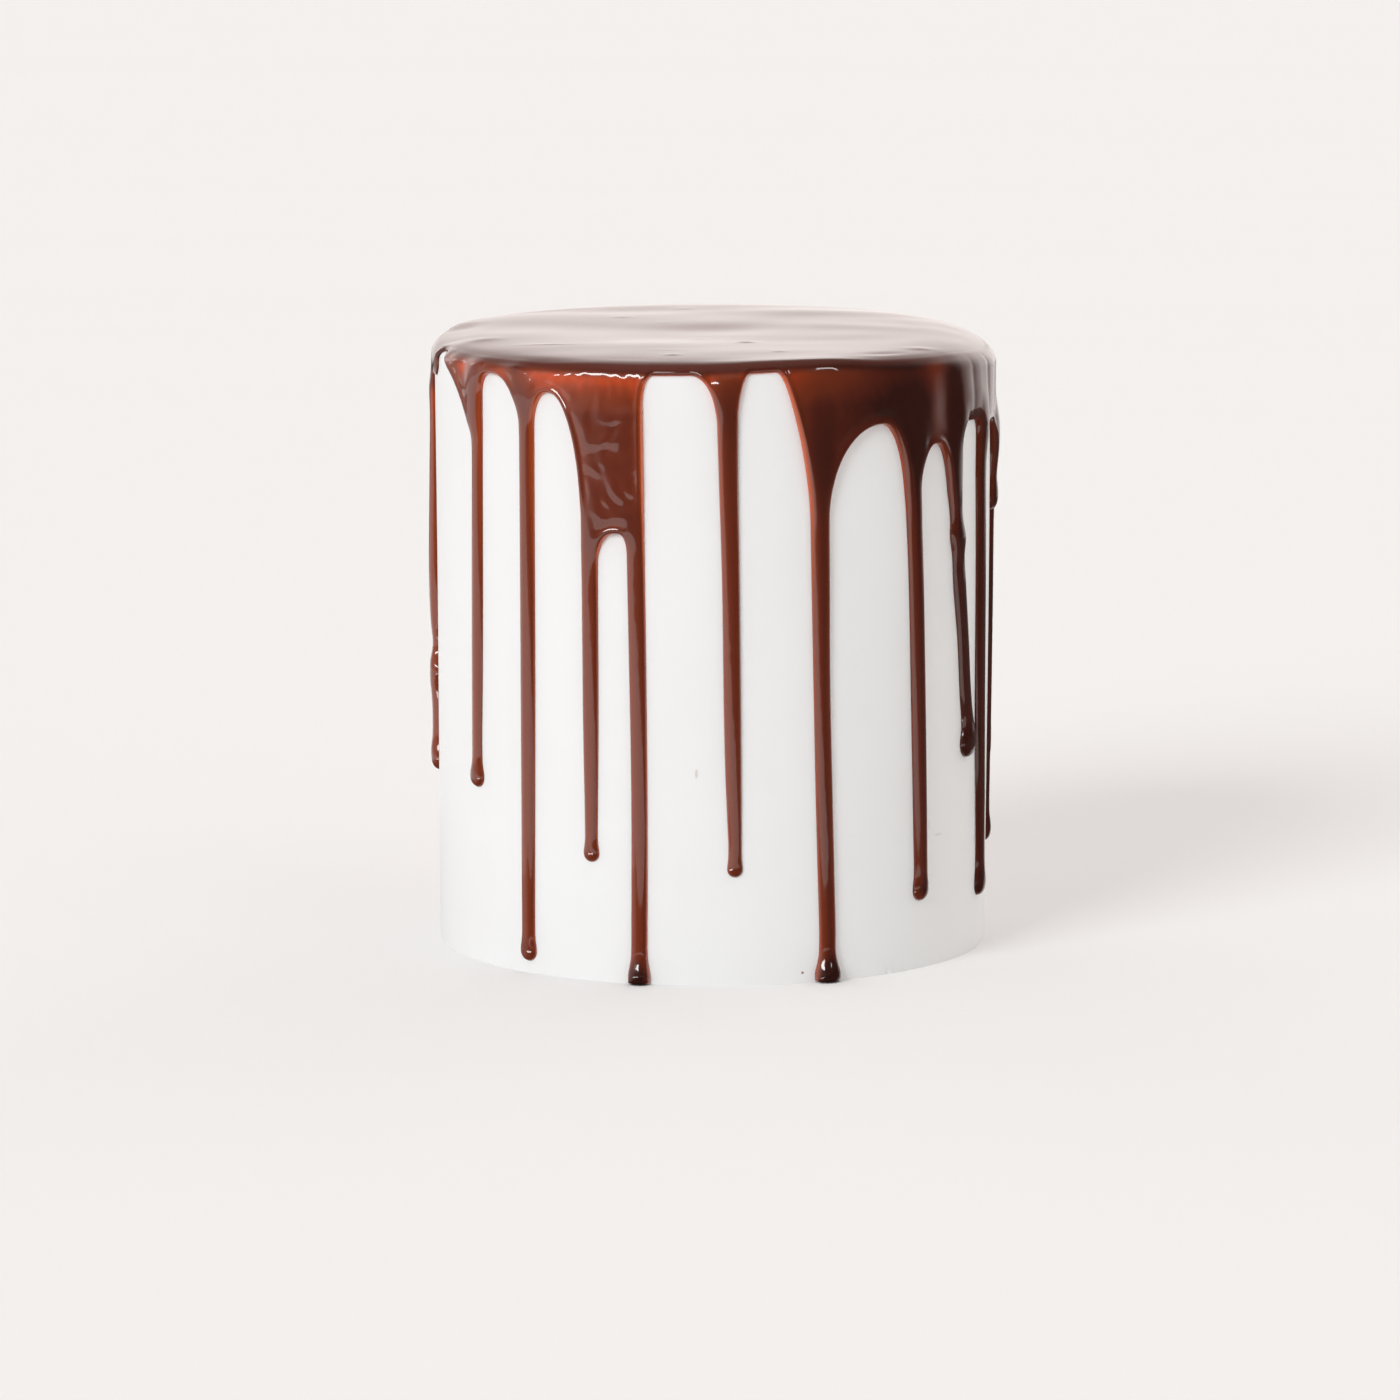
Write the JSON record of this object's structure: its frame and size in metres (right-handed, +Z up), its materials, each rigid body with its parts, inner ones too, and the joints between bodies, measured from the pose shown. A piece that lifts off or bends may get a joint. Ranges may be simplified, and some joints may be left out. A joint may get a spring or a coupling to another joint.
{
  "type": "drip cake",
  "caption": "Tall round cake in smooth white frosting, topped with a glossy pool of chocolate ganache that runs down the side in long thin drips.",
  "frame": {"origin": "the middle of the cake's flat base, on the surface that it stands on", "axes": "+Z up along the cake's axis; -Y faces the front that the picture shows; +X is its right"},
  "size_m": [0.1549, 0.1537, 0.1649],
  "materials": {
    "white_frosting": "smooth matt buttercream, near white",
    "chocolate_ganache": "wet gloss, dark brown where thick and red-brown where thin"
  },
  "bodies": {
    "root": {"frosted_cake": "white_frosting", "chocolate_drip": "chocolate_ganache"}
  },
  "joints": []
}
